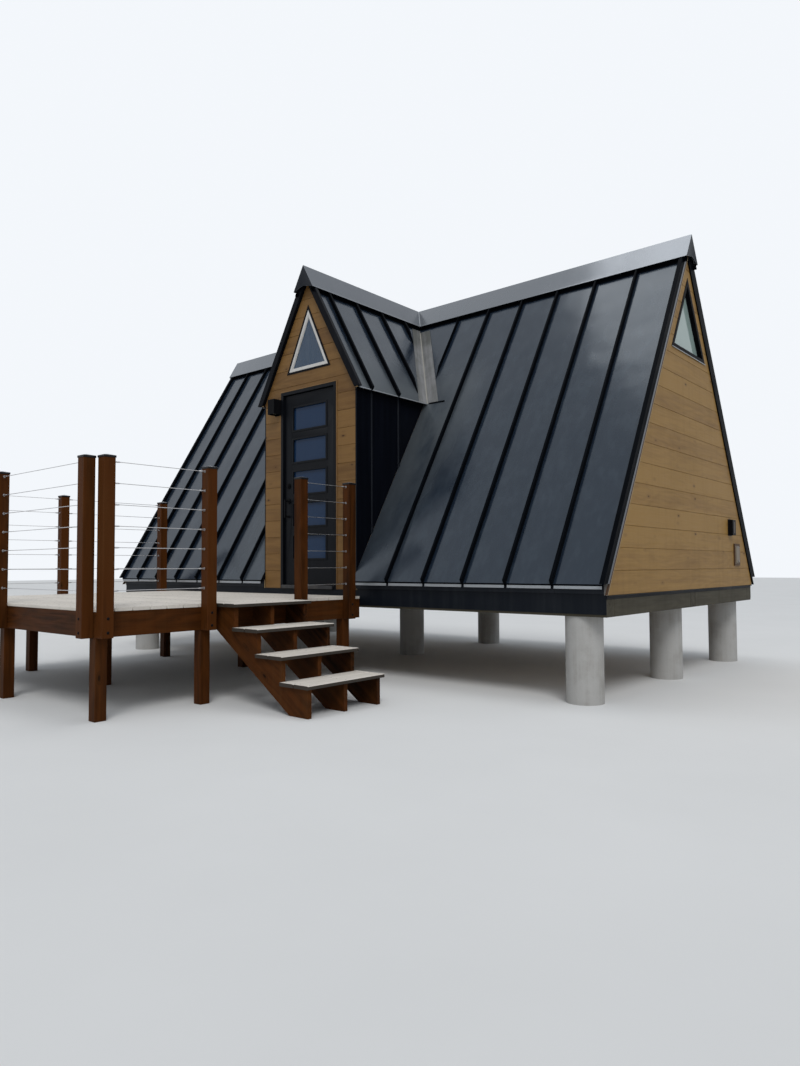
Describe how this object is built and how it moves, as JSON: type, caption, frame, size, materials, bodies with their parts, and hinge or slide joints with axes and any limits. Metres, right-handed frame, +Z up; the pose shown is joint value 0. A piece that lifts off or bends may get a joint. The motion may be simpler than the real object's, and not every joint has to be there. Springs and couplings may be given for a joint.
{
  "type": "a-frame cabin",
  "caption": "A-frame cabin on piers with standing-seam metal roof, cross-gabled entry, hinged glazed door, timber deck with cable railing and an open stair.",
  "frame": {"origin": "under the middle of the cabin, on the plane that its piers, deck posts and stair stand on", "axes": "+X along the main ridge towards the gable wall with the lamp, -Y towards the entry and deck, +Z up"},
  "size_m": [7.061, 6.6708, 4.2903],
  "materials": {
    "concrete": "cast, matte",
    "treated_timber": "weathered, sawn",
    "floor_panel": "sanded",
    "wall_frame": "planed",
    "pine_boards": "oiled, satin",
    "roof_deck": "sawn",
    "roof_metal": "low sheen",
    "cap_metal": "low sheen",
    "bare_metal": "weathered",
    "window_frame": "matte",
    "white_frame": "satin",
    "window_glass": "clear, slightly green",
    "door_paint": "satin",
    "door_glass": "tinted",
    "door_sill": "dark anodised",
    "black_hardware": "matte",
    "supply_box": "satin",
    "stained_timber": "stained, satin",
    "deck_boards": "weathered, matte",
    "steel_cable": "stranded stainless"
  },
  "bodies": {
    "cabin": {"foundation_piers": "concrete", "base_beams": "treated_timber", "floor_joists": "treated_timber", "floor": "floor_panel", "skirt_panels": "roof_metal", "gable_wall_right": "wall_frame", "gable_wall_left": "wall_frame", "gable_boards": "pine_boards", "gable_window_frames": "window_frame", "window_glass": "window_glass", "entry_wall": "wall_frame", "entry_boards": "pine_boards", "entry_side_walls": "wall_frame", "entry_side_cladding": "roof_metal", "transom_frame": "white_frame", "roof_deck_front_right": "roof_deck", "roof_deck_front_left": "roof_deck", "roof_deck_back": "roof_deck", "roof_metal_front_right": "roof_metal", "roof_metal_front_left": "roof_metal", "roof_metal_back": "roof_metal", "entry_roof_right": "roof_deck", "entry_roof_left": "roof_deck", "entry_metal_right": "roof_metal", "entry_metal_left": "roof_metal", "main_ridge_cap": "cap_metal", "entry_ridge_cap": "cap_metal", "rake_trims": "roof_metal", "entry_rake_trim": "roof_metal", "valley_flashing": "bare_metal", "door_frame": "door_paint", "door_sill": "door_sill", "wall_lamps": "black_hardware", "supply_box": "supply_box", "deck_supports": "stained_timber", "deck_frame": "stained_timber", "deck_boards": "deck_boards", "stair_stringers": "stained_timber", "stair_treads": "deck_boards", "rail_posts": "stained_timber", "post_caps": "black_hardware", "rail_cables": "steel_cable"},
    "door": {"door_leaf": "door_paint", "door_glass": "door_glass", "door_lockset": "black_hardware"}
  },
  "joints": [
    {"name": "door_hinge", "type": "hinge", "parent": "cabin", "child": "door", "pos_m": [0.517, -1.871, 1.925], "axis": [0, 0, 1], "range_deg": [0, 100]}
  ]
}
